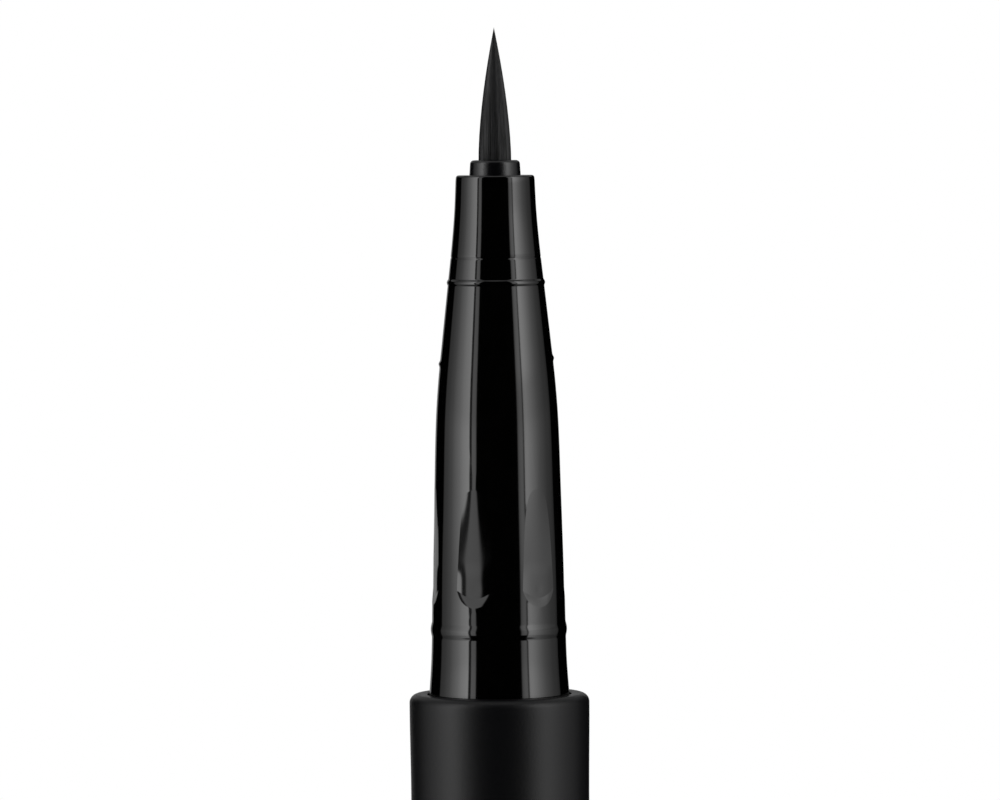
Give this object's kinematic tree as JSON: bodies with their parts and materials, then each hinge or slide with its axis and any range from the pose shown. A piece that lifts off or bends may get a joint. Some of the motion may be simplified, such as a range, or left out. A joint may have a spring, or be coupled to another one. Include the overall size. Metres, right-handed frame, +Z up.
{
  "type": "liquid eyeliner pen",
  "caption": "Slim upright liquid eyeliner pen with a fine pointed brush, a long tapering front section with vent flats, an ink barrel and a pull-off cap posted on its tail.",
  "frame": {"origin": "centre of the cap's closed end, on which the pen stands with its cap posted on its tail", "axes": "+Z up the pen's axis to the tip of the brush; -Y faces the viewer of the picture"},
  "size_m": [0.0104, 0.0104, 0.1641],
  "materials": {
    "satin_black": "satin moulded",
    "gloss_black": "polished moulded",
    "collar_black": "semi-gloss moulded",
    "plug_black": "moulded",
    "filament_black": "fine dull filaments",
    "natural_plastic": "uncoloured moulded",
    "soft_seal": "soft moulded",
    "wick_fibre": "bonded fibre rod",
    "ball_steel": "polished ball"
  },
  "bodies": {
    "cap": {"cap_shell": "satin_black", "inner_cap": "natural_plastic"},
    "pen": {"barrel": "satin_black", "tail_plug": "plug_black", "tank_stopper": "soft_seal", "collector": "natural_plastic", "relay_wick": "wick_fibre", "nozzle": "gloss_black", "brush_retainer": "natural_plastic", "brush_holder": "collar_black", "brush_tuft": "filament_black"},
    "ball": {"mixing_ball": "ball_steel"}
  },
  "joints": [
    {"name": "cap_pull", "type": "slide", "parent": "cap", "child": "pen", "axis": [0, 0, 1], "range_m": [0, 0.014]},
    {"name": "ball_shake", "type": "slide", "parent": "pen", "child": "ball", "axis": [0, 0, 1], "range_m": [0, 0.0736]}
  ]
}
